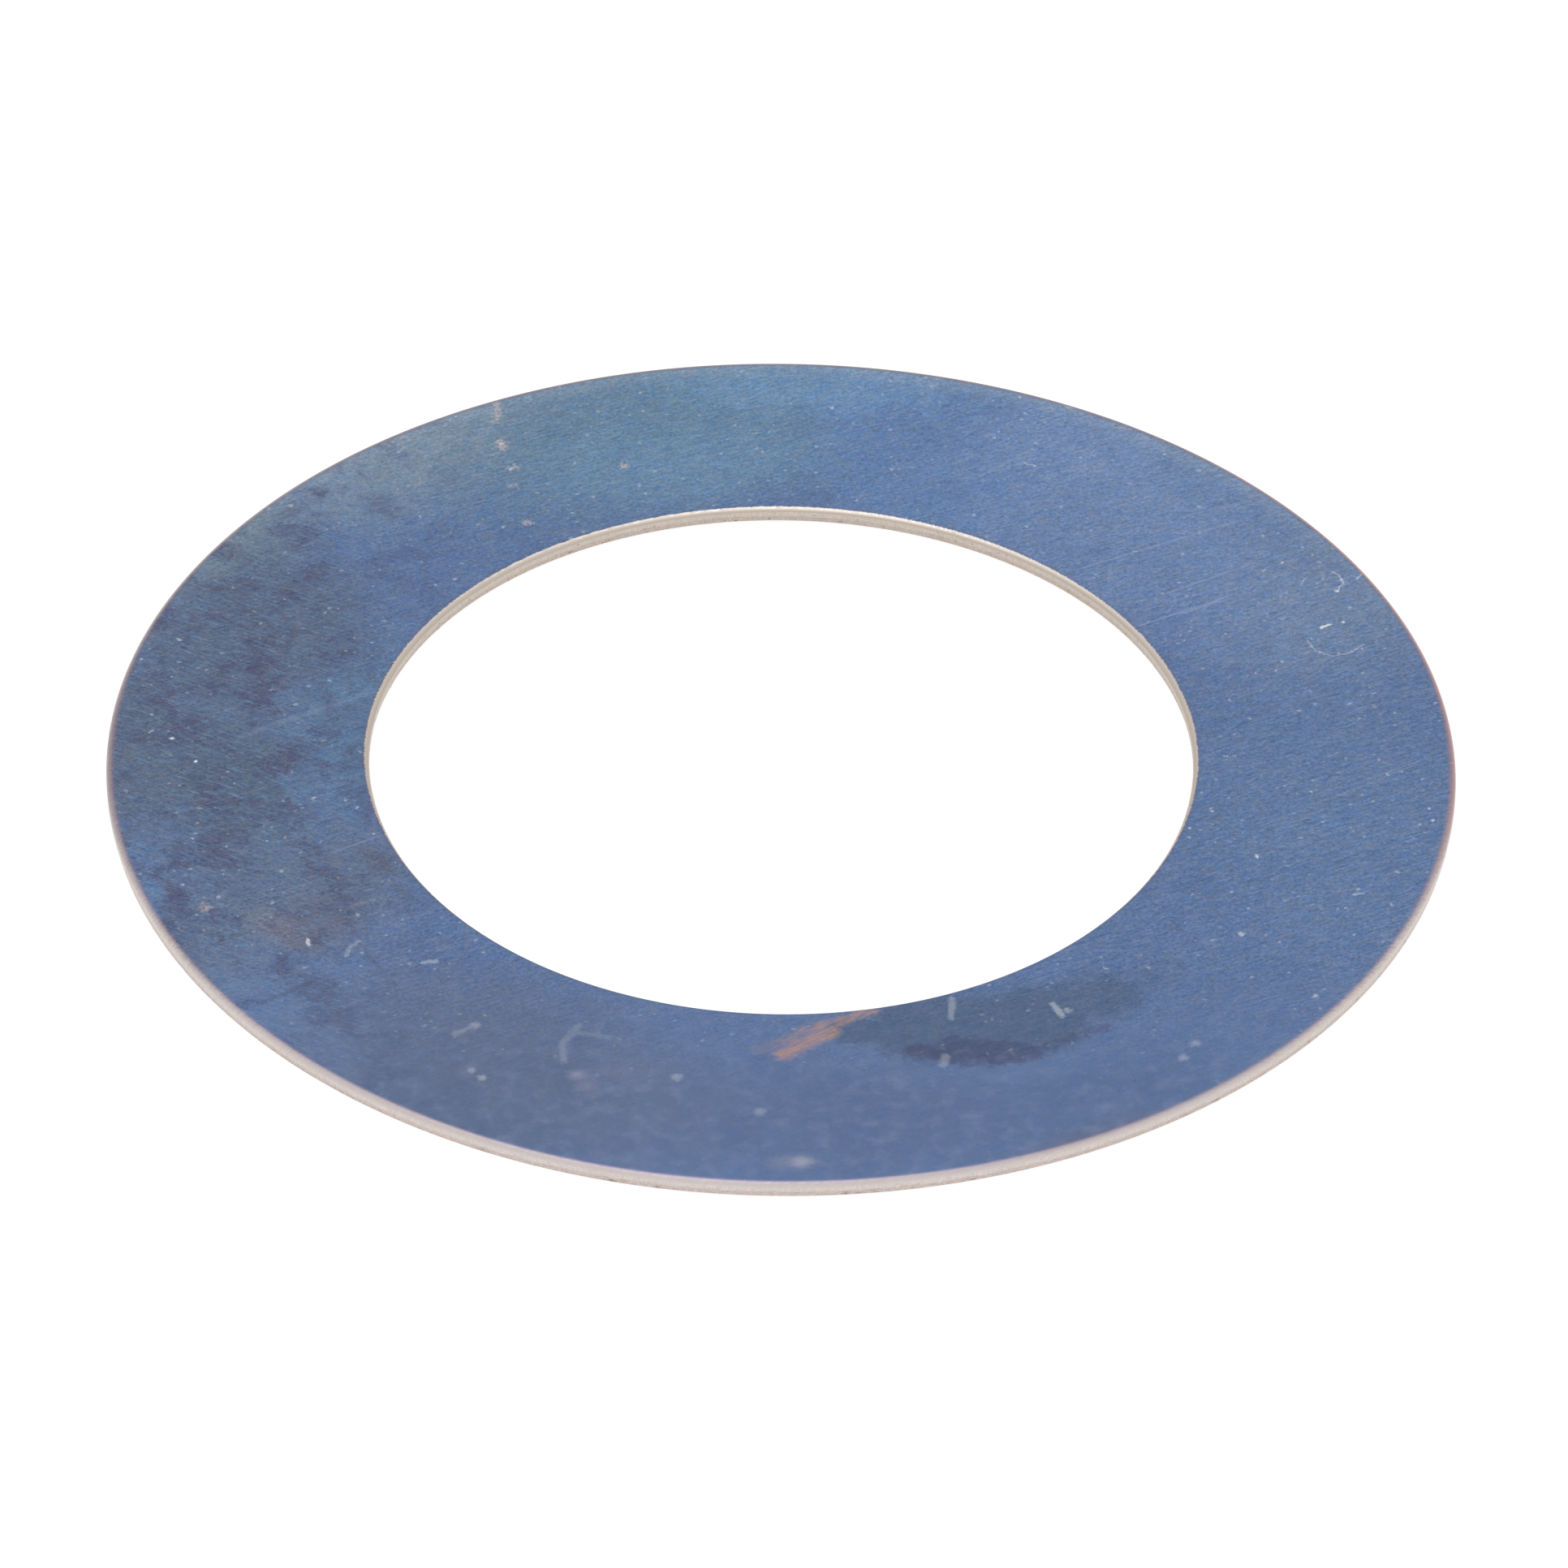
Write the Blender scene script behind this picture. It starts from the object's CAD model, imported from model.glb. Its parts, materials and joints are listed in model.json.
# %% [markdown]
# # A shim ring of blue-tempered spring steel
#
# The object is one flat ring, blanked by a press tool from hard blue strip. It is thin, so nearly all
# that the eye gets is its surface: a blue oxide skin with the straight grain of the rolling mill,
# clouds of purple and teal, dust and a few scratches. At both cut edges the skin stops and bare steel
# shows: first the roll, where the face bent over the die, then the wall.
#
# The plan is to draw the ring's section once, spin it round the bore's axis, roughen the torn part of
# the wall with real displacement, and then spend most of the work on the skin.

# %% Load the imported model
import json
import math

import bpy
from mathutils import Matrix, Vector


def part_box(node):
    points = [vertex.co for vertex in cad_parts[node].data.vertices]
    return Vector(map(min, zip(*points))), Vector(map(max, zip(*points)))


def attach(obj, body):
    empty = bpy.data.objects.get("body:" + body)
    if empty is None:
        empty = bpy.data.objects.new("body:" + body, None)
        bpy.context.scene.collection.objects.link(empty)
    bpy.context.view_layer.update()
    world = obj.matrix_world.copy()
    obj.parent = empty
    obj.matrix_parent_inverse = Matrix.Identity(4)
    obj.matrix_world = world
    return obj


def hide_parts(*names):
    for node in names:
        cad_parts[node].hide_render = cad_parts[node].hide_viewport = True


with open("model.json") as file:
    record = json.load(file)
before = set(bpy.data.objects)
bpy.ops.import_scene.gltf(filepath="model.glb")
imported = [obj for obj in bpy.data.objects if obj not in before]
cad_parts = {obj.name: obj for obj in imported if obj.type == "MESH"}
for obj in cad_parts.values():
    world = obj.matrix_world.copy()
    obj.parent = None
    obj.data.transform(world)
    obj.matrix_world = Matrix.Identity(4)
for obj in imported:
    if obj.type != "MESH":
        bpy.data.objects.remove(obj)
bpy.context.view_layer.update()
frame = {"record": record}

# %% [markdown]
# Everything below is thought out in millimetres, because that is how a ring like this is drawn. The
# scene itself is in metres, so one factor turns lengths over. The sizes that the record knows are
# read from it, and the rest are the forms that the press tool leaves.

# %% Sizes of the ring
MM = 0.001

mounts = {mount["name"]: mount for mount in frame["record"]["mounts"]}
BORE = mounts["bore"]["dims"]["r_mm"]
RIM = mounts["rim"]["dims"]["r_mm"]
THICK = (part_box("shim_ring")[1].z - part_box("shim_ring")[0].z) / MM

RIM_ROLL = (0.48, 0.28)     # how far in the roll starts, and how far it drops
BORE_ROLL = (0.36, 0.22)
LAND_SHARE = 0.45           # share of the wall below a roll that is burnished
LEAN = 0.06                 # how far the fracture leans back
BREAK = 0.05                # radius of the two lower edges
print(f"bore {BORE} mm, rim {RIM} mm, thickness {THICK:.3f} mm")


# %% [markdown]
# ## The section
#
# On the real ring the section is what the press tool makes: two flat faces, a soft roll on the
# side that the punch met, an upright burnished land, a torn slope and a small break. It could be
# a bevelled plane, but no bevel gives a roll that is wider than it is deep. So it is drawn as a
# turner draws a template: a single vertex is extruded along each straight, and swung round a
# centre for each arc.

# %% Helpers for working on one mesh by hand
def select_only(piece):
    """Deselect all, and make this piece the one that operators act on."""
    bpy.ops.object.select_all(action="DESELECT")
    piece.select_set(True)
    bpy.context.view_layer.objects.active = piece


def draw_on(across, up):
    """Extrude the selected vertex of the section to a point given in millimetres."""
    mesh = bpy.context.edit_object
    mesh.update_from_editmode()
    here = next(v.co for v in mesh.data.vertices if v.select)
    there = Vector((across * MM, 0, up * MM))
    bpy.ops.mesh.extrude_region_move(TRANSFORM_OT_translate={"value": there - here})


def draw_straight(across, up, cuts=0):
    """Extrude to a point, in cuts + 1 even steps."""
    mesh = bpy.context.edit_object
    mesh.update_from_editmode()
    start = next(v.co for v in mesh.data.vertices if v.select) / MM
    for step in range(1, cuts + 2):
        share = step / (cuts + 1)
        draw_on(start.x + (across - start.x) * share, start.z + (up - start.z) * share)


def swing(centre, degrees, steps):
    """Swing the selected vertex round a centre in the section's plane, leaving an arc."""
    bpy.ops.mesh.spin(
        steps=steps, angle=math.radians(degrees), axis=(0, 1, 0),
        center=(centre[0] * MM, 0, centre[1] * MM),
    )


# %% [markdown]
# A roll's arc leaves the top face smoothly, so its centre is straight below the point where the
# face ends, and its radius follows from how wide and how deep the roll is.

# %% Work out the rolls and the walls
def roll_arc(width, depth):
    """Radius and turn in degrees of an arc that is tangent to the face."""
    radius = (width ** 2 + depth ** 2) / (2 * depth)
    return radius, math.degrees(math.asin(width / radius))


rim_radius, rim_turn = roll_arc(*RIM_ROLL)
bore_radius, bore_turn = roll_arc(*BORE_ROLL)
FACE_OUT = RIM - RIM_ROLL[0]
FACE_IN = BORE + BORE_ROLL[0]
RIM_LAND_TOP = THICK - RIM_ROLL[1]
BORE_LAND_TOP = THICK - BORE_ROLL[1]
RIM_LAND_FOOT = RIM_LAND_TOP * (1 - LAND_SHARE)
BORE_LAND_FOOT = BORE_LAND_TOP * (1 - LAND_SHARE)
print(f"rolls: rim radius {rim_radius:.3f} mm over {rim_turn:.1f} degrees,"
      f" bore radius {bore_radius:.3f} mm over {bore_turn:.1f} degrees")

# %% Draw the section from the bore's lower edge, counter-clockwise
BREAK_STEPS = 3
ROLL_STEPS = 8
FRACTURE_CUTS = 6
GUARD = 0.08                # a loop this far inside each roll keeps the face's shading flat

bpy.ops.object.select_all(action="DESELECT")
first = ((BORE + LEAN + BREAK) * MM, 0, 0)
bpy.ops.mesh.primitive_plane_add(size=MM, location=first)
ring = bpy.context.object
ring.name = ring.data.name = "blanked_ring"
bpy.ops.object.transform_apply(location=True)
bpy.ops.object.mode_set(mode="EDIT")
bpy.ops.mesh.select_mode(type="VERT")
bpy.ops.mesh.select_all(action="SELECT")
bpy.ops.mesh.merge(type="CENTER")

draw_straight(RIM - LEAN - BREAK, 0, cuts=3)
swing((RIM - LEAN - BREAK, BREAK), 90, BREAK_STEPS)
draw_straight(RIM, RIM_LAND_FOOT, cuts=FRACTURE_CUTS)
draw_straight(RIM, RIM_LAND_TOP, cuts=2)
swing((FACE_OUT, THICK - rim_radius), rim_turn, ROLL_STEPS)
draw_straight(FACE_OUT - GUARD, THICK)
draw_straight(FACE_IN + GUARD, THICK, cuts=2)
draw_straight(FACE_IN, THICK)
swing((FACE_IN, THICK - bore_radius), bore_turn, ROLL_STEPS)
draw_straight(BORE, BORE_LAND_FOOT, cuts=2)
draw_straight(BORE + LEAN, BREAK, cuts=FRACTURE_CUTS)
swing((BORE + LEAN + BREAK, BREAK), 90, BREAK_STEPS)
ring.update_from_editmode()
spread = [max(v.co[i] for v in ring.data.vertices) / MM for i in (0, 2)]
print(f"section: {len(ring.data.vertices)} points, out to {spread[0]:.3f} mm, up to {spread[1]:.3f} mm")

# %% [markdown]
# ## The ring
#
# Spinning the section once round gives the whole body. The number of steps is set by the torn
# wall, whose grain is about a fifth of a millimetre: the ring needs vertices closer than that
# along its edges before a displacement can show it.

# %% Spin the section into a sector, and the sector into a ring
SECTORS = 24
SECTOR_STEPS = 60

bpy.ops.mesh.select_all(action="SELECT")
sector = math.tau / SECTORS
bpy.ops.mesh.spin(steps=SECTOR_STEPS, angle=sector, center=(0, 0, 0), axis=(0, 0, 1))
bpy.ops.mesh.select_all(action="SELECT")
bpy.ops.mesh.spin(
    steps=SECTORS, angle=math.tau, center=(0, 0, 0), axis=(0, 0, 1), dupli=True,
)
bpy.ops.mesh.select_all(action="SELECT")
bpy.ops.mesh.remove_doubles(threshold=0.002 * MM)
bpy.ops.mesh.normals_make_consistent(inside=False)
bpy.ops.mesh.select_all(action="DESELECT")
bpy.ops.object.mode_set(mode="OBJECT")
triangles = sum(len(face.vertices) - 2 for face in ring.data.polygons)
print(f"ring: {len(ring.data.vertices)} vertices, {triangles} triangles")


# %% [markdown]
# ## The torn wall
#
# Below its burnished land the strip wasn't cut, it snapped. That wall is grainy, with small bites
# out of its lower edge, and the line where it starts wanders. A bump in a material would vanish at
# the silhouette, so the grain is real: vertex groups hold the torn rows, and Displace modifiers
# with procedural textures push them inwards, never outwards past the gauged diameter.

# %% Find the rows of the wall
MIDDLE = (BORE + RIM) / 2   # mm from the axis: the bore's side is nearer, the rim's further out
ROW_GAP = 0.01              # mm below a roll's foot at which the wall's rows start
TEAR_GAP = 0.02             # share of the torn height at which the tearing starts
TEAR_START = 0.35           # how strong the tearing is at the land's foot
TEAR_GROWTH = 1.3           # how much stronger it would be at the lower face, but it stops at 1
WANDER_REACH = 0.45         # share of the torn height over which the land's foot wanders


def wall_height(point):
    """Height in mm of a point on one of the two walls, or None for one on a face or a roll."""
    radius = point.xy.length / MM
    up = point.z / MM
    near_rim = radius > RIM - LEAN - BREAK / 2 and up < RIM_LAND_TOP - ROW_GAP
    near_bore = radius < BORE + LEAN + BREAK / 2 and up < BORE_LAND_TOP - ROW_GAP
    return up if near_rim or near_bore else None


torn = ring.vertex_groups.new(name="torn_wall")
foot = ring.vertex_groups.new(name="land_foot")
for vertex in ring.data.vertices:
    up = wall_height(vertex.co)
    if up is None:
        continue
    land_foot = RIM_LAND_FOOT if vertex.co.xy.length / MM > MIDDLE else BORE_LAND_FOOT
    below = (land_foot - up) / land_foot
    if below > TEAR_GAP:
        torn.add([vertex.index], min(1.0, TEAR_START + TEAR_GROWTH * below), "REPLACE")
    nearness = 1 - abs(below) / WANDER_REACH
    if nearness > 0:
        foot.add([vertex.index], nearness, "REPLACE")
print("vertex groups:", [group.name for group in ring.vertex_groups])


# %% Push the torn rows about
def push(group, texture, strength, middle, direction):
    """Displace a vertex group of the ring by a texture, strength in mm, and apply it."""
    select_only(ring)
    bpy.ops.object.modifier_add(type="DISPLACE")
    modifier = ring.modifiers[-1]
    modifier.texture = texture
    modifier.texture_coords = "LOCAL"
    modifier.vertex_group = group
    modifier.strength = strength * MM
    modifier.mid_level = middle
    modifier.direction = direction
    bpy.ops.object.modifier_apply(modifier=modifier.name)


wander = bpy.data.textures.new("land_foot_wander", "CLOUDS")
wander.noise_scale = 1.6 * MM
wander.noise_depth = 3
push("land_foot", wander, strength=0.30, middle=0.5, direction="Z")

crystals = bpy.data.textures.new("torn_crystals", "CLOUDS")
crystals.noise_scale = 0.22 * MM
crystals.noise_depth = 2
push("torn_wall", crystals, strength=0.075, middle=1.0, direction="NORMAL")

bites = bpy.data.textures.new("bites", "VORONOI")
bites.noise_scale = 0.9 * MM
bites.noise_intensity = 1.0
bites.use_color_ramp = True
bites.color_ramp.elements[0].position = 0.10
bites.color_ramp.elements[0].color = (0, 0, 0, 1)
bites.color_ramp.elements[1].position = 0.32
bites.color_ramp.elements[1].color = (1, 1, 1, 1)
push("torn_wall", bites, strength=0.07, middle=1.0, direction="NORMAL")
outer = max(v.co.xy.length for v in ring.data.vertices) / MM
inner = min(v.co.xy.length for v in ring.data.vertices) / MM
print(f"after the tearing: bore radius {inner:.3f} mm, rim radius {outer:.3f} mm")

# %% Shade the rolls smooth and keep the corners crisp
CRISP_FROM = 24             # degrees between two faces from which their edge stays crisp

select_only(ring)
bpy.ops.object.shade_smooth_by_angle(angle=math.radians(CRISP_FROM))
print("sharp edges:", sum(edge.use_edge_sharp for edge in ring.data.edges))

# %% [markdown]
# ## Materials
#
# Three finishes meet on the one piece: the blue skin with its bare rolled edge, the burnished
# land, and the torn wall. They are nodes on object coordinates, so a pattern has its real size
# whatever the mesh does. One helper adds a node, and colours are written as sRGB hex values. A
# Mapping node of the texture kind takes as its scale how long and wide one grain of a pattern is.

# %% Helpers for materials
def linear(code):
    """Turn an sRGB hex value such as #6A80A8 into a linear colour."""
    shares = [int(code[i:i + 2], 16) / 255 for i in (1, 3, 5)]
    return [c / 12.92 if c <= 0.04045 else ((c + 0.055) / 1.055) ** 2.4 for c in shares] + [1]


def node(tree, kind, feeds=(), give=None, **settings):
    """Add a node with its settings, feed its inputs in the order shown, and return an output."""
    made = tree.nodes.new(kind)
    for name, value in settings.items():
        setattr(made, name, value)
    shown = [socket for socket in made.inputs if socket.enabled]
    named = isinstance(feeds, dict)
    pairs = [(made.inputs[n], v) for n, v in feeds.items()] if named else zip(shown, feeds)
    for socket, value in pairs:
        if isinstance(value, bpy.types.NodeSocket):
            tree.links.new(value, socket)
        elif value is not None:
            socket.default_value = value
    return made.outputs[give] if give else next(s for s in made.outputs if s.enabled)


COORDINATE = "ShaderNodeTexCoord"
MAPPING = "ShaderNodeMapping"
NOISE = "ShaderNodeTexNoise"
CELLS = "ShaderNodeTexVoronoi"
MATH = "ShaderNodeMath"
VECTOR = "ShaderNodeVectorMath"
SPLIT = "ShaderNodeSeparateXYZ"
RANGE = "ShaderNodeMapRange"
MIX = "ShaderNodeMix"
BUMP = "ShaderNodeBump"
SOFTLY = {"interpolation_type": "SMOOTHSTEP"}
COLOURS = {"data_type": "RGBA"}
TINTED = {"data_type": "RGBA", "blend_type": "MULTIPLY"}


def new_material(name):
    """Start a material, and return it with its node tree and its metal shader."""
    material = bpy.data.materials.new(name)
    material.use_nodes = True
    return material, material.node_tree, material.node_tree.nodes["Principled BSDF"]


def millimetres(tree):
    """The point being shaded, in millimetres on the ring."""
    point = node(tree, COORDINATE, give="Object")
    return node(tree, VECTOR, [point, 1 / MM], operation="SCALE")


def across_ring(tree, point):
    """Distance of a point from the axis in mm, and 0 on the bore's half of the ring, 1 on the rim's."""
    level = node(tree, VECTOR, [point, (1, 1, 0)], operation="MULTIPLY")
    radius = node(tree, VECTOR, [level], give="Value", operation="LENGTH")
    return radius, node(tree, RANGE, [radius, MIDDLE - 1, MIDDLE + 1, 0, 1])


# %% [markdown]
# ## Stamps for the marks
#
# A real strip has been handled: it has patches where the film is thicker, scratches, lint and a
# rub of rust. Each such mark is one press of a stamp at a place in millimetres, and there are two
# stamps. One is a soft ellipse that tints. The other is a stroke that adds to a mask: a
# straight line with round ends, measured as a distance, so that a few joined strokes make a curl.
# Both know their height too, so what lies on the upper face doesn't come through on the lower one.

# %% The two stamps
STAMP_DEPTH = 0.8     # mm below the upper face at which a patch has faded out
LIFT = 0.01           # mm by which one fibre rides over another
STROKES_AT_ONCE = 6


def press_patches(tree, point, colour, patches):
    """Press a list of tinted patches onto a colour: place, reach, turn, solid share, share, tint."""
    for (x_at, y_at), (along, across), turn, solid, share, tint in patches:
        place = node(tree, MAPPING, {
            "Vector": point, "Location": (x_at, y_at, THICK), "Rotation": (0, 0, math.radians(turn)),
            "Scale": (along, across, STAMP_DEPTH),
        }, vector_type="TEXTURE")
        away = node(tree, VECTOR, [place], give="Value", operation="LENGTH")
        cover = node(tree, RANGE, [away, 1, solid, 0, share], **SOFTLY)
        colour = node(tree, MIX, [cover, colour, linear(tint)], **COLOURS)
    return colour


def press_stroke(tree, point, first, last, half_width, share, mask):
    """Press one straight stroke into a mask: it is as dark as the point is near the line."""
    start = Vector((*first, THICK))
    run = Vector((*last, THICK)) - start
    here, nearest = point, start
    if run.length > 0:
        here = node(tree, VECTOR, [point, start], operation="SUBTRACT")
        along = node(tree, VECTOR, [here, run.normalized()], give="Value", operation="DOT_PRODUCT")
        along = node(tree, RANGE, [along, 0, run.length, 0, run.length])
        nearest = node(tree, VECTOR, [run.normalized(), along], operation="SCALE")
    away = node(tree, VECTOR, [here, nearest], give="Value", operation="DISTANCE")
    cover = node(tree, RANGE, [away, half_width, half_width * 0.2, 0, share], **SOFTLY)
    return node(tree, MATH, [mask, cover], operation="MAXIMUM")


def press_strokes(tree, point, strokes):
    """Make a mask from a list of strokes: each is its points in mm, its half width and share.

    A fibre that crosses earlier ones rides over them, so the point is lifted a little by what is
    there already, every few strokes, and it is handed on to the next list. That also makes a
    renderer take the strokes in turn. Side by side, a hundred of them overflow the short stack on
    which it works a material out.
    """
    mask = 0.0
    straights = [(first, last, half_width, share) for spots, half_width, share in strokes
                 for first, last in zip(spots, spots[1:] or spots)]
    for count, straight in enumerate(straights, start=1):
        mask = press_stroke(tree, point, *straight, mask)
        if count % STROKES_AT_ONCE == 0 or count == len(straights):
            point = node(tree, VECTOR, [mask, (0, 0, LIFT), point], operation="MULTIPLY_ADD")
    return mask, point


# %% [markdown]
# ## The blue skin
#
# The strip is polished, then heated until an oxide film grows on it. The film is thinner than a
# wavelength of light, so its colour is interference, and a small change of thickness turns blue to
# purple or teal. It could be a plain blue metal with a clear coat, but the colour isn't in a coat:
# it is the metal's own reflection that is tinted. So it is one metal shader whose base colour has
# all the drift, and the first thing is to lay out where the film is thick and thin.

# %% Start the skin: places on the ring
# Blue-tempered spring steel: the film's drift of colour is broad, its edges are never sharp.
SWIRL = 5.5    # mm of noise that pushes broad patches out of shape
SHAKE = 0.55   # mm of finer noise that does so for small marks

blued, tree, shader = new_material("blue_tempered_spring_steel")
point = millimetres(tree)
x = node(tree, SPLIT, [point], give="X")
y = x.node.outputs["Y"]
radius, rim_half = across_ring(tree, point)
swirl = node(tree, NOISE, {"Vector": point, "Scale": 1 / 2.4, "Detail": 4, "Roughness": 0.6},
             give="Color")
swirl = node(tree, VECTOR, [swirl, (0.5, 0.5, 0.5)], operation="SUBTRACT")
swirl = node(tree, VECTOR, [swirl, (SWIRL, SWIRL, 0)], operation="MULTIPLY")
wavy = node(tree, VECTOR, [point, swirl], operation="ADD")
tremble = node(tree, NOISE, {"Vector": point, "Scale": 1 / 0.4, "Detail": 2, "Roughness": 0.6},
               give="Color")
tremble = node(tree, VECTOR, [tremble, (0.5, 0.5, 0.5)], operation="SUBTRACT")
shaky = node(tree, VECTOR, [tremble, (SHAKE, SHAKE, 0), point], operation="MULTIPLY_ADD")
print("places on the ring:", len(tree.nodes), "nodes")

# %% Lay out the film's colours
FILM = [
    # place (mm), reach (mm), turn, solid, share, tint
    ((-12, 38), (26, 17), 14, 0.2, 0.95, "#6C87A2"),       # teal cast at the back left
    ((-26, 33), (16, 8), 42, 0.1, 0.9, "#8091A5"),         # paler towards the rim there
    ((11.2, 36), (10.5, 14), 0, 0.72, 0.85, "#6A84AF"),    # clear blue right of the teal
    ((26, 33), (18, 12), -38, 0.2, 0.85, "#748AB0"),       # lavender at the back right
    ((36, 17), (10, 13), 10, 0.2, 0.8, "#788AA8"),         # greyer at the right
    ((37, -7), (14, 26), 12, 0.2, 0.85, "#697FA5"),        # deep blue at the front right
    ((4, -38), (20, 9), 0, 0.2, 0.7, "#607095"),           # violet at the front
    ((-18, -33), (20, 12), -30, 0.2, 0.9, "#65708E"),      # greyer at the front left
    ((-34, -14), (10, 12), 0, 0.2, 0.8, "#63718B"),
    ((-37, -3), (8, 11), 0, 0.3, 0.9, "#5C6A80"),          # slate at the left
    ((-29, 3), (6, 14), 0, 0.2, 0.8, "#5F7898"),
    ((-36, 13), (10, 13), -20, 0.4, 0.95, "#5F6B84"),      # the dark patch at the left
    ((-38, 24), (9, 6), 50, 0.2, 0.8, "#707D89"),
    ((24, 24), (22, 12), -45, 0.3, 0.6, "#788EB6"),        # a lighter right side
    ((-6, 33), (15, 7), 10, 0.2, 0.6, "#7391B2"),          # lit up at the back, left and right
    ((20, 36), (10, 6), -30, 0.2, 0.4, "#8096C0"),
    ((2, 42), (15, 5), 0, 0.2, 0.6, "#7799BE"),
    ((-28, -14), (7, 9), 0, 0.2, 0.60, "#68728A"),
    ((-43, 0), (5, 15), 0, 0.3, 0.85, "#606B82"),          # a grey-teal margin at the left
    ((-38, -22), (6, 10), -35, 0.2, 0.7, "#66748E"),
    ((-22, -38), (10, 5), -28, 0.2, 0.7, "#5F6D8C"),
    ((22, -36), (11, 6), 32, 0.2, 0.6, "#5D6F95"),
]
skin = press_patches(tree, wavy, linear("#6479A1"), FILM)
tremble = node(tree, VECTOR, [tremble, (0.15, 0.15, 0.15), (0.99, 1.02, 1.01)],
               operation="MULTIPLY_ADD")
skin = node(tree, VECTOR, [skin, tremble], operation="MULTIPLY")
margin = node(tree, RANGE, [radius, 42.4, 44.6, 0, 0.45], **SOFTLY)
back_side = node(tree, RANGE, [y, 5, 38, 0, 1], **SOFTLY)
margin = node(tree, MATH, [margin, back_side], operation="MULTIPLY")
skin = node(tree, MIX, [margin, skin, linear("#96A6BA")], **COLOURS)
print("film patches:", len(FILM))

# %% [markdown]
# The stains are in the film, so they come before its grain. At the left front there is a pale
# dried spot, with smaller ones round it.

# %% Press the stains
STAINS = [
    # place (mm), reach (mm), turn, solid, share, tint
    ((-30.2, -18.8), (4.5, 5.0), 30, 0.0, 0.7, "#6A6B7E"),
    ((-26.3, -12.2), (2.6, 1.5), -50, 0.2, 0.8, "#5E667C"),
    ((-33.4, -18.9), (2.7, 1.9), -40, 0.0, 0.85, "#868692"),
    ((-31.4, -20.6), (2.6, 1.7), -40, 0.0, 0.60, "#7A7B8C"),
    ((1.6, -42.7), (1.1, 0.8), 14, 0.0, 0.80, "#ADADBA"),
    ((0.9, -42.7), (2.6, 1.2), 10, 0.0, 0.40, "#989BB0"),
    ((-12.9, -34.2), (1.0, 0.8), 0, 0.0, 0.55, "#9A9CAE"),
    ((-12.2, -35.3), (1.2, 1.0), -40, 0.0, 0.40, "#9496AA"),
    ((-27.5, -16.7), (0.9, 0.4), 22, 0.3, 0.6, "#8A8E9F"),
    ((-37.7, -17.3), (0.6, 0.9), 15, 0.3, 0.6, "#86858F"),
    ((-35.6, -11.2), (0.9, 0.7), 0, 0.1, 0.4, "#84868E"),
    ((-21.4, -34.5), (3.5, 2.5), 0, 0.1, 0.4, "#65708C"),
    ((-9.5, -34.0), (4.0, 2.4), -10, 0.1, 0.45, "#747C9C"),
    ((20, -40), (9, 1.7), 27, 0.2, 0.5, "#6D7186"),
]
skin = press_patches(tree, shaky, skin, STAINS)
print("stains:", len(STAINS))

# %% [markdown]
# Closer up, the film is mottled at every scale down to the grain of the steel. One noise with many
# octaves could do it, but each scale has a colour of its own, so there are three: clouds of a few
# millimetres, blots of one, and flecks of a quarter of one. Where a cloud or a fleck is lighter it is
# also a little greyer, and a blot moves red against blue. At the left the clouds turn purple. At
# the front the film is smoother, and it has a pale haze instead.

# %% Mottle the film
def lighten(tree, colour, noise, reach, gains):
    """Multiply a colour by 1 plus the noise's swing, which gains share out to red, green and blue."""
    swing_by = node(tree, MATH, [noise, 0.5], operation="SUBTRACT")
    swing_by = node(tree, MATH, [swing_by, reach], operation="MULTIPLY")
    tint = node(tree, VECTOR, [swing_by, gains, (1, 1, 1)], operation="MULTIPLY_ADD")
    return node(tree, VECTOR, [colour, tint], operation="MULTIPLY")


dark_side = node(tree, RANGE, [x, -20, -34, 0, 1], **SOFTLY)
front_side = node(tree, RANGE, [y, -18, -38, 0, 1], **SOFTLY)
clouds = node(tree, NOISE, {"Vector": wavy, "Scale": 1 / 2.8, "Detail": 5, "Roughness": 0.66})
blots = node(tree, NOISE, {"Vector": point, "Scale": 1 / 0.9, "Detail": 4, "Roughness": 0.7,
                           "Distortion": 0.6})
flecks = node(tree, NOISE, {"Vector": point, "Scale": 1 / 0.26, "Detail": 3, "Roughness": 0.8})

purple_share = node(tree, RANGE, [clouds, 0.44, 0.66, 0, 0.80], **SOFTLY)
purple_share = node(tree, MATH, [purple_share, dark_side], operation="MULTIPLY")
skin = node(tree, MIX, [purple_share, skin, linear("#595A76")], **COLOURS)
skin = lighten(tree, skin, clouds, 0.30, (-1.4, -1, -0.6))
hue_reach = node(tree, RANGE, [front_side, 0, 1, 0.50, 0.16])
skin = lighten(tree, skin, blots, hue_reach, (-1.5, -0.3, 0.8))
fleck_reach = node(tree, RANGE, [front_side, 0, 1, 1.35, 0.28])
skin = lighten(tree, skin, flecks, fleck_reach, (1.1, 1, 0.95))
haze = node(tree, NOISE, {"Vector": point, "Scale": 1 / 1.2, "Detail": 3, "Roughness": 0.5})
pale_share = node(tree, RANGE, [haze, 0.42, 0.86, 0, 0.40], **SOFTLY)
pale_share = node(tree, MATH, [pale_share, front_side], operation="MULTIPLY")
skin = node(tree, MIX, [pale_share, skin, linear("#8593B4")], **COLOURS)
print("with the mottle:", len(tree.nodes), "nodes")

# %% [markdown]
# The rolling mill leaves a straight grain that crosses the whole ring at one angle, because the
# ring was cut from a strip that already had it. So it is noise stretched along one line, not
# round the ring as on a turned part. Real scores are a few hundredths of a millimetre wide, too fine
# for the picture, so they are drawn about a sixth of one wide. The dark left side has a paler
# hatching across the grain too.

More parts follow.
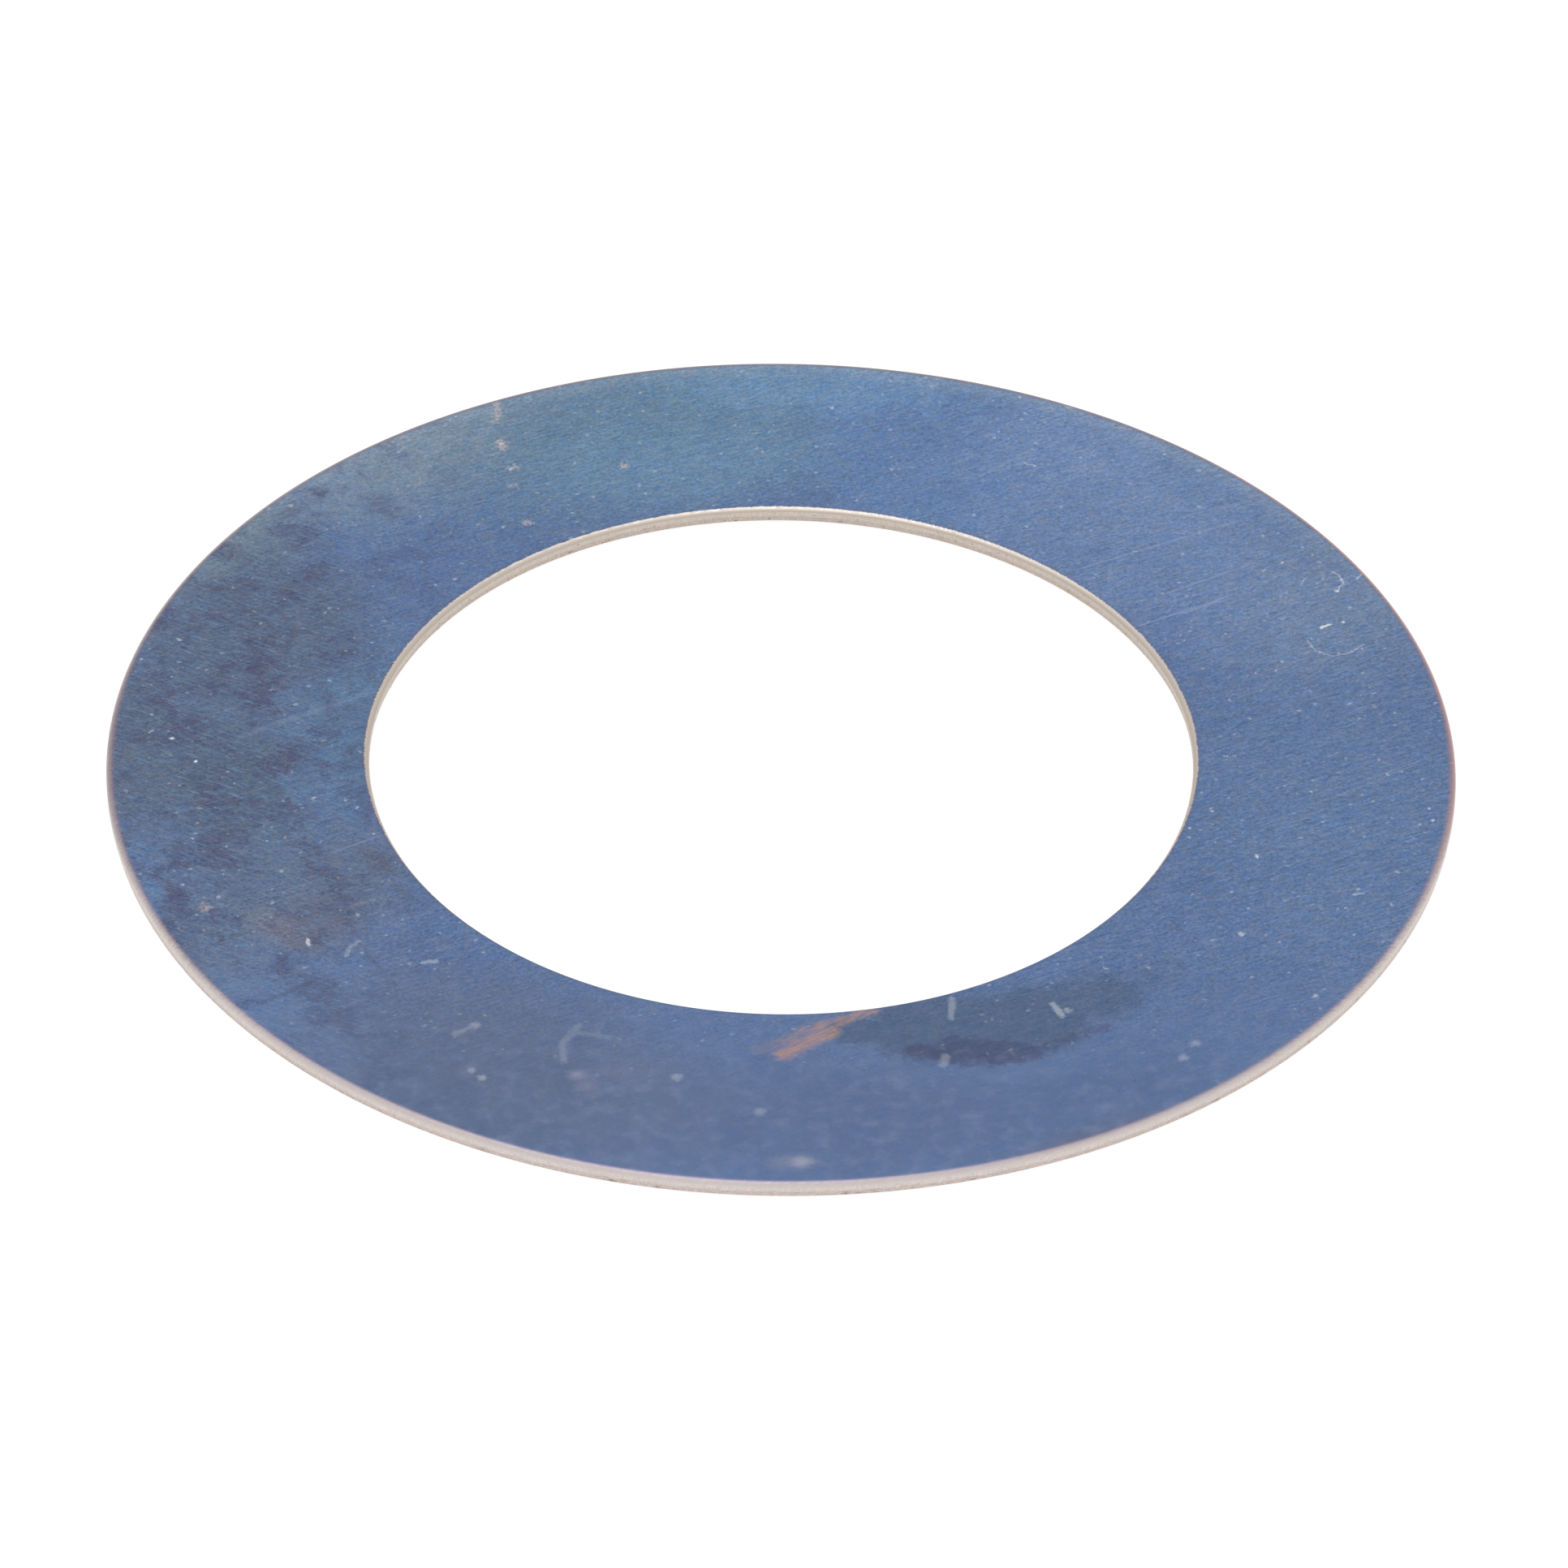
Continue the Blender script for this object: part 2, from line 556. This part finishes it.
# %% Rolling grain
GRAIN_TURN = math.radians(27)     # from the X axis
grain = node(tree, MAPPING, {"Vector": shaky, "Rotation": (0, 0, GRAIN_TURN),
                             "Scale": (1.3, 0.17, 1)}, vector_type="TEXTURE")
streaks = node(tree, NOISE, {"Vector": grain, "Scale": 1, "Detail": 4, "Roughness": 0.7})
long_grain = node(tree, MAPPING, {"Vector": point, "Rotation": (0, 0, GRAIN_TURN),
                                  "Scale": (12, 0.22, 1)}, vector_type="TEXTURE")
lines = node(tree, NOISE, {"Vector": long_grain, "Scale": 1, "Detail": 3, "Roughness": 0.6})
cross_grain = node(tree, MAPPING, {"Vector": shaky, "Rotation": (0, 0, -GRAIN_TURN),
                                   "Scale": (1.6, 0.2, 1)}, vector_type="TEXTURE")
hatch = node(tree, NOISE, {"Vector": cross_grain, "Scale": 1, "Detail": 3, "Roughness": 0.7})
streak_reach = node(tree, RANGE, [x, 5, 35, 1.15, 1.35])
streak_share = node(tree, RANGE, [front_side, 0, 1, 1, 0.12])
streak_reach = node(tree, MATH, [streak_reach, streak_share], operation="MULTIPLY")
skin = lighten(tree, skin, streaks, streak_reach, (1.35, 1, 0.7))
line_reach = node(tree, RANGE, [front_side, 0, 1, 0.34, 0.08])
skin = lighten(tree, skin, lines, line_reach, (1.3, 1, 0.75))
hatch_share = node(tree, RANGE, [hatch, 0.50, 0.72, 0, 0.72])
hatch_share = node(tree, MATH, [hatch_share, dark_side], operation="MULTIPLY")
skin = node(tree, MIX, [hatch_share, skin, linear("#7697B8")], **COLOURS)
print("with the grain:", len(tree.nodes), "nodes")

# %% [markdown]
# ## Leaf, rust and flakes
#
# A dark leaf-shaped stain lies at the front right of the bore, with a ragged rub of rust beside it,
# and at the back some beige flakes cling to the film. Their edges are ragged, so they are pressed as
# wide strokes, and the noises tear the mask before it turns into a share of colour. The leaf
# darkens the film below it. The rust covers it, mauve where it is thin and orange where it is thick.

# %% Press the leaf, the rust and the flakes
def tear(tree, mask, noise, rough_by, low, high, share):
    """Add a noise's swing to a mask, cut it off softly between two levels, and keep to the mask."""
    swing_by = node(tree, MATH, [noise, 0.5], operation="SUBTRACT")
    torn_mask = node(tree, MATH, [swing_by, rough_by, mask], operation="MULTIPLY_ADD")
    torn_mask = node(tree, RANGE, [torn_mask, low, high, 0, share], **SOFTLY)
    ground = node(tree, RANGE, [mask, 0, 0.2, 0, 1])
    return node(tree, MATH, [torn_mask, ground], operation="MULTIPLY")


LEAF = [
    # points (mm), half width (mm), share
    (((4.6, -29.4), (8.8, -29.3)), 2.1, 1.0), (((9.2, -28.9), (13.6, -29.0), (16.9, -27.9)), 5.1, 1.0),
    (((17.4, -26.9), (21.2, -25.4)), 4.3, 0.6), (((21.2, -25.4), (25.0, -22.6)), 2.8, 0.3),
]
LEAF_EDGE = [
    (((9.0, -31.3), (11.6, -31.9), (14.2, -32.0), (16.4, -31.4)), 1.3, 1.0),
    (((11.0, -30.7), (15.2, -30.9)), 1.4, 0.8), (((16.4, -31.4), (18.6, -30.0), (21.4, -28.5)), 0.9, 0.6),
]
RUST = [
    (((6.2, -27.2), (3.8, -28.5)), 0.80, 0.9), (((3.8, -28.5), (1.4, -29.9), (-1.2, -31.3)), 0.85, 0.55),
    (((3.4, -29.4), (1.9, -30.6), (0.4, -31.8)), 1.15, 1.0), (((3.0, -28.9), (1.2, -30.4)), 1.4, 0.8),
]
FLAKES = [
    (((-20.2, 39.8), (-20.0, 38.6), (-20.1, 37.4)), 0.45, 1.0), (((-19.7, 34.9), (-19.5, 34.2)), 0.70, 1.0),
    (((-19.0, 31.8), (-18.6, 32.1)), 0.50, 0.9), (((-18.8, 29.9), (-18.6, 30.0)), 0.50, 0.8),
    (((-17.6, 25.6),), 0.70, 1.0), (((-11.1, 32.4),), 0.70, 1.0), (((-8.9, 31.7),), 0.55, 0.7),
    (((-37.6, -17.3),), 0.75, 0.8),
]
leaf, pen = press_strokes(tree, shaky, LEAF)
leaf = tear(tree, leaf, blots, 1.1, 0.05, 0.75, 1.0)
skin = node(tree, MIX, [leaf, skin, linear("#E2E1DB")], **TINTED)
leaf_edge, pen = press_strokes(tree, pen, LEAF_EDGE)
leaf_edge = tear(tree, leaf_edge, blots, 1.5, 0.05, 1.10, 1.0)
skin = node(tree, MIX, [leaf_edge, skin, linear("#ECDAE0")], **TINTED)
rust_place = node(tree, MAPPING, {"Vector": point, "Rotation": (0, 0, math.radians(36)),
                                  "Scale": (1.3, 0.28, 1)}, vector_type="TEXTURE")
rust_grain = node(tree, NOISE, {"Vector": rust_place, "Scale": 1, "Detail": 4, "Roughness": 0.75})
rust, pen = press_strokes(tree, pen, RUST)
rust = tear(tree, rust, rust_grain, 2.4, -0.05, 1.75, 0.92)
rust_tint = node(tree, MIX, [rust, linear("#9C8C98"), linear("#D09A72")], **COLOURS)
skin = node(tree, MIX, [rust, skin, rust_tint], **COLOURS)
flakes, pen = press_strokes(tree, pen, FLAKES)
flakes = tear(tree, flakes, flecks, 3.0, 0.25, 1.50, 0.80)
skin = node(tree, MIX, [flakes, skin, linear("#C4BBBB")], **COLOURS)
print("leaf, rust and flakes:", len(LEAF) + len(LEAF_EDGE), len(RUST), len(FLAKES))

# %% [markdown]
# ## Scratches, lint and dust
#
# Scratches go through the film and show a paler line. Lint and dust lie on top: they are matt and
# whitish, so their mask also turns the metal off there. The larger ones are pressed where the
# photograph has them, and the fine dust is scattered by cell noise, some cells left empty.

# %% Scratches
SCRATCHES = [
    # points (mm), half width (mm), share
    (((24.2, 14.7), (30.2, 18.1)), 0.10, 0.50), (((27.2, 16.2), (29.6, 17.6)), 0.09, 0.65),
    (((26.2, 18.5), (31.5, 21.6)), 0.11, 0.40), (((20.4, 21.2), (30.8, 26.6)), 0.12, 0.38),
    (((-36.2, 1.2), (-27.4, 6.4)), 0.42, 0.16), (((-32.6, 3.2), (-27.2, 6.5)), 0.16, 0.22),
    (((-29.6, -11.3), (-26.4, -9.4)), 0.10, 0.30),
    (((32.2, -7.0), (42.0, -0.6)), 0.09, 0.22), (((38.5, -2.4), (43.4, 0.5)), 0.08, 0.25),
    (((13.4, 31.6), (17.2, 35.0)), 0.11, 0.30), (((22.3, 21.6), (22.2, 19.8)), 0.09, 0.30),
    (((30.2, 31.5), (36.8, 25.0)), 0.08, 0.16), (((-40.6, -7.4), (-33.0, -3.8)), 0.09, 0.18),
]
DARK_SCORE = [(((-33.6, -27.3), (-30.2, -24.8)), 0.34, 0.40)]
scratched, _ = press_strokes(tree, point, SCRATCHES)
skin = node(tree, MIX, [scratched, skin, linear("#9BA9C4")], **COLOURS)
score, pen = press_strokes(tree, pen, DARK_SCORE)
skin = node(tree, MIX, [score, skin, linear("#545C74")], **COLOURS)
print("scratches:", len(SCRATCHES) + len(DARK_SCORE))

# %% Lint: fibres, curls and single flecks
LINT = [
    # at the back
    (((-19.6, 34.8),), 0.20, 0.50), (((-18.9, 31.9),), 0.18, 0.50),
    (((3.2, 39.5),), 0.20, 0.50), (((-1.5, 34.2),), 0.17, 0.55), (((5.1, 42.0),), 0.17, 0.50),
    (((16.3, 41.0),), 0.15, 0.50), (((16.5, 33.3), (17.3, 32.9)), 0.11, 0.40),
    (((20.4, 33.9),), 0.16, 0.45), (((19.4, 40.1), (20.0, 39.8)), 0.14, 0.50),
    (((-35.6, 32.2),), 0.16, 0.55),
    # at the right
    (((37.3, 21.1), (38.0, 20.6), (38.15, 19.8), (37.7, 19.0)), 0.09, 0.50),
    (((37.68, 18.92),), 0.20, 0.80), (((35.6, 20.4), (35.3, 19.6)), 0.09, 0.30),
    (((39.9, 21.9), (39.1, 20.2)), 0.10, 0.50), (((36.5, 14.7), (37.1, 15.15)), 0.16, 0.90),
    (((38.0, 15.4),), 0.16, 0.85),
    (((35.5, 13.4), (36.0, 12.1), (37.1, 11.5), (38.2, 11.8), (39.3, 12.8)), 0.08, 0.35),
    (((39.2, 12.4),), 0.13, 0.40), (((35.8, 13.5),), 0.14, 0.50), (((37.6, 11.9),), 0.14, 0.50),
    (((34.1, 22.1),), 0.16, 0.60), (((36.2, 23.0),), 0.15, 0.40), (((27.6, 14.1),), 0.14, 0.40),
    (((31.9, 9.5),), 0.13, 0.60), (((33.3, 9.8),), 0.14, 0.60), (((31.5, -10.5),), 0.25, 0.80),
    (((28.6, -5.7),), 0.20, 0.60), (((27.1, -7.6),), 0.17, 0.55), (((35.2, -3.5),), 0.16, 0.50),
    (((43.1, -5.2),), 0.17, 0.60), (((43.2, -6.4),), 0.18, 0.60),
    (((37.7, -14.5), (38.4, -14.3)), 0.13, 0.40), (((30.3, -18.8),), 0.27, 0.50),
    (((34.9, -25.2),), 0.28, 0.40),
    # at the front, where they are soft
    (((27.0, -30.2),), 0.50, 0.24), (((26.2, -31.7),), 0.50, 0.22),
    (((17.8, -26.3), (18.4, -27.5)), 0.36, 0.34), (((18.8, -27.0),), 0.40, 0.26),
    (((11.3, -25.9), (11.2, -27.9)), 0.38, 0.22), (((10.8, -31.9), (10.7, -32.7)), 0.46, 0.18),
    (((-1.1, -37.7),), 0.60, 0.18), (((-6.5, -34.3),), 0.56, 0.22),
    (((-12.9, -29.2), (-13.9, -31.0), (-13.8, -32.8)), 0.36, 0.10),
    (((-13.0, -29.8), (-10.9, -30.3)), 0.36, 0.08),
    (((-20.9, -30.2), (-19.7, -29.3)), 0.36, 0.14), (((-19.6, -29.2),), 0.46, 0.24),
    (((-19.7, -33.8),), 0.42, 0.22), (((-19.0, -34.6),), 0.46, 0.26),
    # at the left
    (((-30.8, -20.5), (-30.7, -21.1)), 0.22, 0.62), (((-22.4, -22.6), (-23.1, -22.8)), 0.30, 0.30),
    (((-27.4, -20.6), (-28.0, -21.2), (-28.2, -22.2)), 0.22, 0.20), (((-24.0, -22.9),), 0.30, 0.24),
    (((-36.8, -16.2),), 0.24, 0.35), (((-32.8, -13.3),), 0.24, 0.35), (((-33.9, -10.1),), 0.16, 0.40),
    (((-38.9, -9.9),), 0.18, 0.40), (((-40.7, 0.9),), 0.26, 1.00), (((-39.0, -1.6),), 0.22, 1.00),
    (((-42.3, 1.6),), 0.14, 0.50), (((-43.2, 9.6),), 0.16, 0.50), (((-33.9, 16.6),), 0.13, 0.40),
]
lint, _ = press_strokes(tree, pen, LINT)
print("lint strokes:", sum(max(1, len(spots) - 1) for spots, _, _ in LINT))

# %% Scattered dust
def scatter(tree, point, scale, turn, size, filled, strength):
    """Return a mask of dust: a soft speck per filled cell, of its own size and strength."""
    cell = node(tree, MAPPING, {"Vector": point, "Rotation": (0, 0, math.radians(turn)),
                                "Scale": scale}, vector_type="TEXTURE")
    away = node(tree, CELLS, {"Vector": cell, "Scale": 1}, give="Distance")
    chance = node(tree, SPLIT, [away.node.outputs["Color"]], give="X")
    there = node(tree, RANGE, [chance, 1 - filled, 1, 0, 1])
    away = node(tree, MATH, [away, there], operation="DIVIDE")
    speck = node(tree, RANGE, [away, size, size * 0.3, 0, strength], **SOFTLY)
    return node(tree, MATH, [speck, there], operation="MULTIPLY")


dust = scatter(tree, shaky, (1.8, 2.4, 1.7), 64, 0.11, 0.60, 0.45)
more = scatter(tree, shaky, (0.50, 0.38, 0.5), 20, 0.42, 0.24, 0.36)
dust = node(tree, MATH, [dust, more], operation="MAXIMUM")
dust_share = node(tree, RANGE, [front_side, 0, 1, 1, 0.12])
dust = node(tree, MATH, [dust, dust_share], operation="MULTIPLY")
dirt = node(tree, MATH, [lint, dust], operation="MAXIMUM")
skin = node(tree, MIX, [dirt, skin, linear("#D8DCE2")], **COLOURS)
print("with the lint and dust:", len(tree.nodes), "nodes")

# %% [markdown]
# ## The bare rolled edge
#
# Where the press tool bent the face over, the film cracked off. The blue doesn't stop at a line: the
# film thins out through violet and brown, in teeth along the grain, and then polished steel shows.
# At the rim's right side the steel kept a faint copper tint, and at the left it is greyer.

# %% Run the skin out into bare steel
film_over_rim = node(tree, RANGE, [y, 38, 5, 0.08, 0.27], **SOFTLY)
more_at_front = node(tree, RANGE, [y, -20, -45, 0, 0.04], **SOFTLY)
film_over_rim = node(tree, MATH, [film_over_rim, more_at_front], operation="ADD")
film_over_bore = node(tree, RANGE, [y, 5, -18, 0.0, 0.26], **SOFTLY)
from_rim = node(tree, MATH, [FACE_OUT, radius], operation="SUBTRACT")
from_rim = node(tree, MATH, [from_rim, film_over_rim], operation="ADD")
from_bore = node(tree, MATH, [radius, FACE_IN], operation="SUBTRACT")
from_bore = node(tree, MATH, [from_bore, film_over_bore], operation="ADD")
inside = node(tree, MATH, [from_rim, from_bore], operation="MINIMUM")
teeth = node(tree, MAPPING, {"Vector": point, "Rotation": (0, 0, GRAIN_TURN),
                             "Scale": (0.6, 0.12, 1)}, vector_type="TEXTURE")
teeth = node(tree, NOISE, {"Vector": teeth, "Scale": 1, "Detail": 3, "Roughness": 0.7})
tooth_reach = node(tree, RANGE, [front_side, 0, 1, 0.42, 0.12])
teeth = node(tree, MATH, [teeth, 0.5], operation="SUBTRACT")
teeth = node(tree, MATH, [teeth, tooth_reach], operation="MULTIPLY")
inside = node(tree, MATH, [inside, teeth], operation="ADD")
copper = node(tree, RANGE, [x, 25, 40, 0, 0.8], **SOFTLY)
greyer = node(tree, RANGE, [x, -25, -40, 0, 0.8], **SOFTLY)
rim_steel = node(tree, MIX, [copper, linear("#9C939A"), linear("#CCA6A4")], **COLOURS)
rim_steel = node(tree, MIX, [greyer, rim_steel, linear("#BCB2B2")], **COLOURS)
polished = node(tree, RANGE, [y, 0, -20, 0, 1], **SOFTLY)
rim_steel = node(tree, MIX, [polished, rim_steel, linear("#E8DFD9")], **COLOURS)
lip = node(tree, RANGE, [inside, -0.16, -0.08, 0, 1], **SOFTLY)
lip = node(tree, MATH, [lip, back_side], operation="MULTIPLY")
bore_steel = node(tree, MIX, [lip, linear("#CBBFB4"), linear("#F0EDEC")], **COLOURS)
bare_steel = node(tree, MIX, [rim_half, bore_steel, rim_steel], **COLOURS)
softness = node(tree, RANGE, [y, 30, -5, 0.10, 0.28], **SOFTLY)
softness = node(tree, MIX, [rim_half, 0.04, softness])
faded = node(tree, MATH, [inside, softness], operation="DIVIDE")
bare = node(tree, RANGE, [faded, 1, -1, 0, 1], **SOFTLY)
thin = node(tree, RANGE, [inside, 0.30, 0.04, 0, 0.4], **SOFTLY)
skin = node(tree, MIX, [thin, skin, linear("#6C6A84")], **COLOURS)
brown = node(tree, RANGE, [faded, 1.5, 0.0, 0, 0.42], **SOFTLY)
brown = node(tree, MATH, [brown, rim_half], operation="MULTIPLY")
skin = node(tree, MIX, [brown, skin, linear("#B28C88")], **COLOURS)
skin = node(tree, MIX, [bare, skin, bare_steel], **COLOURS)
print("with the bare edge:", len(tree.nodes), "nodes")

# %% [markdown]
# The film follows the polish of the strip, so its roughness and its faint relief come from the same
# flecks and streaks as its colour. Lint and dust are rougher, and they aren't metal.

# %% Polish and relief of the skin
rough = node(tree, RANGE, [flecks, 0.3, 0.7, 0.34, 0.46])
rough = node(tree, MATH, [dirt, 0.35, rough], operation="MULTIPLY_ADD")
metal = node(tree, MATH, [1, dirt], operation="SUBTRACT", use_clamp=True)
height = node(tree, MATH, [streaks, 0.8, flecks], operation="MULTIPLY_ADD")
relief = node(tree, BUMP, {"Height": height, "Strength": 1.0, "Distance": 0.0015 * MM})
tree.links.new(skin, shader.inputs["Base Color"])
tree.links.new(rough, shader.inputs["Roughness"])
tree.links.new(metal, shader.inputs["Metallic"])
tree.links.new(relief, shader.inputs["Normal"])
print("blue skin:", len(tree.nodes), "nodes")

# %% [markdown]
# ## The bare walls
#
# Below the roll there is no film. Where the punch wiped past, the land is burnished bright, with
# fine upright scores, and where the strip snapped the wall is matt and sandy. One grey metal could
# do for both, but the line between them is what shows that the ring was cut by a press. So both
# take their colour from one sandy pattern, and differ in tint, roughness and relief.

# %% Sand on the walls
def sandy(tree, point, bore_tint, rim_tint, strength):
    """Colour of a bare wall, and its sand: crystals that catch light or not, and pits in the bore."""
    sand = node(tree, NOISE, {"Vector": point, "Scale": 1 / 0.17, "Detail": 4, "Roughness": 0.75})
    blush = node(tree, NOISE, {"Vector": point, "Scale": 1 / 0.35, "Detail": 2, "Roughness": 0.7})
    _, rim_half = across_ring(tree, point)
    colour = node(tree, MIX, [rim_half, linear(bore_tint), linear(rim_tint)], **COLOURS)
    colour = lighten(tree, colour, sand, strength, (1, 1, 1))
    colour = lighten(tree, colour, blush, strength, (0.3, 0, -0.3))
    pits = node(tree, RANGE, [blush, 0.63, 0.70, 0, 0.55], **SOFTLY)
    pits = node(tree, MATH, [pits, rim_half], operation="SUBTRACT", use_clamp=True)
    return node(tree, MIX, [pits, colour, linear("#6A625D")], **COLOURS), sand


# %% Burnished land
# Bare steel that the punch wiped smooth as it passed. It is bright, with fine upright scores, and a
# little of the tearing shows through.
burnished, tree, shader = new_material("burnished_bare_steel")
point = millimetres(tree)
upright = node(tree, MAPPING, {"Vector": point, "Scale": (0.14, 0.14, 2.0)}, vector_type="TEXTURE")
scores = node(tree, NOISE, {"Vector": upright, "Scale": 1, "Detail": 3, "Roughness": 0.6})
colour, _ = sandy(tree, point, "#C9BEB4", "#D3CAC6", 0.60)
colour = lighten(tree, colour, scores, 0.3, (1, 1, 1))
relief = node(tree, BUMP, {"Height": scores, "Strength": 1.0, "Distance": 0.002 * MM})
tree.links.new(colour, shader.inputs["Base Color"])
tree.links.new(relief, shader.inputs["Normal"])
shader.inputs["Metallic"].default_value = 1
shader.inputs["Roughness"].default_value = 0.45
print("burnished land:", len(tree.nodes), "nodes")

# %% Torn wall
# Steel that snapped. Its crystals point every way, so it looks matt and sandy, paler on their
# tips and dark in the pits.
torn_steel, tree, shader = new_material("torn_bare_steel")
point = millimetres(tree)
colour, sand = sandy(tree, point, "#C7BBB1", "#D3C6C0", 1.00)
relief = node(tree, BUMP, {"Height": sand, "Strength": 1.0, "Distance": 0.008 * MM})
tree.links.new(colour, shader.inputs["Base Color"])
tree.links.new(relief, shader.inputs["Normal"])
shader.inputs["Metallic"].default_value = 1
shader.inputs["Roughness"].default_value = 0.55
print("torn wall:", len(tree.nodes), "nodes")

# %% Give each face its finish, by where it lies
FINISHES = [blued, burnished, torn_steel]
FLAT = 0.9                  # upright share of its normal from which a face counts as flat
LAND_GAP = 0.02             # mm above the land's foot from which a face is burnished

for material in FINISHES:
    ring.data.materials.append(material)
for face in ring.data.polygons:
    near_rim = face.center.xy.length / MM > MIDDLE
    land_top = RIM_LAND_TOP if near_rim else BORE_LAND_TOP
    land_foot = RIM_LAND_FOOT if near_rim else BORE_LAND_FOOT
    middle = face.center.z / MM
    if abs(face.normal.z) > FLAT or middle > land_top:
        finish = blued
    elif middle > land_foot + LAND_GAP:
        finish = burnished
    else:
        finish = torn_steel
    face.material_index = FINISHES.index(finish)
indexes = [face.material_index for face in ring.data.polygons]
print("faces in each finish:", [indexes.count(i) for i in range(len(FINISHES))])

# %% [markdown]
# ## Floor, light and camera
#
# The ring lies on a white sweep under an even, soft light. Metal shows what is round it, so the
# light is a pale sky that is a little brighter overhead, with one wide soft lamp, and the floor is
# white to the camera and in reflections. Its own shading keeps the ring's faint shadow.

# %% Floor
FLOOR_SIZE = 8              # m
FLOOR_GAP = 0.02            # mm below the ring, so that the two never share a plane

bpy.ops.object.select_all(action="DESELECT")
bpy.ops.mesh.primitive_plane_add(size=FLOOR_SIZE, location=(0, 0, -FLOOR_GAP * MM))
floor = bpy.context.object
floor.name = "floor"
bpy.ops.object.transform_apply(location=True)
paper, tree, shader = new_material("white_paper_sweep")
shader.inputs["Base Color"].default_value = linear("#E4E3E1")
shader.inputs["Roughness"].default_value = 0.9
rays = tree.nodes.new("ShaderNodeLightPath").outputs
seen = node(tree, MATH, [rays["Is Camera Ray"], rays["Is Glossy Ray"]], operation="MAXIMUM")
seen = node(tree, MATH, [seen, rays["Is Transmission Ray"]], operation="MAXIMUM")
white = node(tree, "ShaderNodeEmission", [linear("#FFFFFF"), 0.75])
paper_look = node(tree, "ShaderNodeBsdfDiffuse", [linear("#A0A0A0")])
backdrop = node(tree, "ShaderNodeAddShader", [white, paper_look])
result = node(tree, "ShaderNodeMixShader", [seen, shader.outputs[0], backdrop])
tree.links.new(result, tree.nodes["Material Output"].inputs["Surface"])
floor.data.materials.append(paper)
print("floor:", tuple(floor.dimensions))

# %% Light
HORIZON, OVERHEAD = 0.70, 1.02     # brightness of the sky

world = bpy.data.worlds.new("pale_studio")
bpy.context.scene.world = world
world.use_nodes = True
tree = world.node_tree
looking = node(tree, COORDINATE, give="Generated")
up = node(tree, SPLIT, [looking], give="Z")
sky = node(tree, RANGE, [up, 0, 1, HORIZON, OVERHEAD])
tree.links.new(sky, tree.nodes["Background"].inputs["Strength"])
tree.nodes["Background"].inputs["Color"].default_value = linear("#FFFFFF")
bpy.ops.object.light_add(type="AREA", location=(-0.1, 0.1, 0.9))
lamp = bpy.context.object
lamp.name = "soft_lamp"
lamp.data.shape = "SQUARE"
lamp.data.size = 0.6
lamp.data.energy = 1.2
lamp.matrix_world = (Matrix.Translation(lamp.location)
                     @ lamp.location.to_track_quat("Z", "Y").to_matrix().to_4x4())
print(f"lamp: {lamp.data.size:.1f} m wide, {lamp.data.energy:.1f} W")

# %% Camera
CAMERA_ELEVATION = 37.704   # degrees, as the rest fitted to the silhouettes in the photograph
CAMERA_ROLL = 0.678
CAMERA_DISTANCE = 0.755145  # m from the point aimed at
AIM = Vector((0.000207, -0.002025, 0))
SENSOR = 36                 # mm wide
LENS = 260.07               # mm

tilt = math.radians(CAMERA_ELEVATION)
back = Vector((0, -math.cos(tilt), math.sin(tilt)))
bpy.ops.object.camera_add(location=AIM + back * CAMERA_DISTANCE)
camera = bpy.context.object
camera.name = "camera"
roll = Matrix.Rotation(math.radians(CAMERA_ROLL), 4, back)
camera.matrix_world = (Matrix.Translation(camera.location) @ roll
                       @ back.to_track_quat("Z", "Y").to_matrix().to_4x4())
camera.data.sensor_width = SENSOR
camera.data.lens = LENS
camera.data.clip_start = 0.01
bpy.context.scene.camera = camera
print("camera:", [round(v, 4) for v in camera.location])

# %% [markdown]
#
# The ring is fixed to its body and stands in for the CAD node. Its box and the CAD one are written
# out side by side, because looks must never change a size.

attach(ring, "root")
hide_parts("shim_ring")
bpy.context.scene.view_settings.view_transform = "Standard"
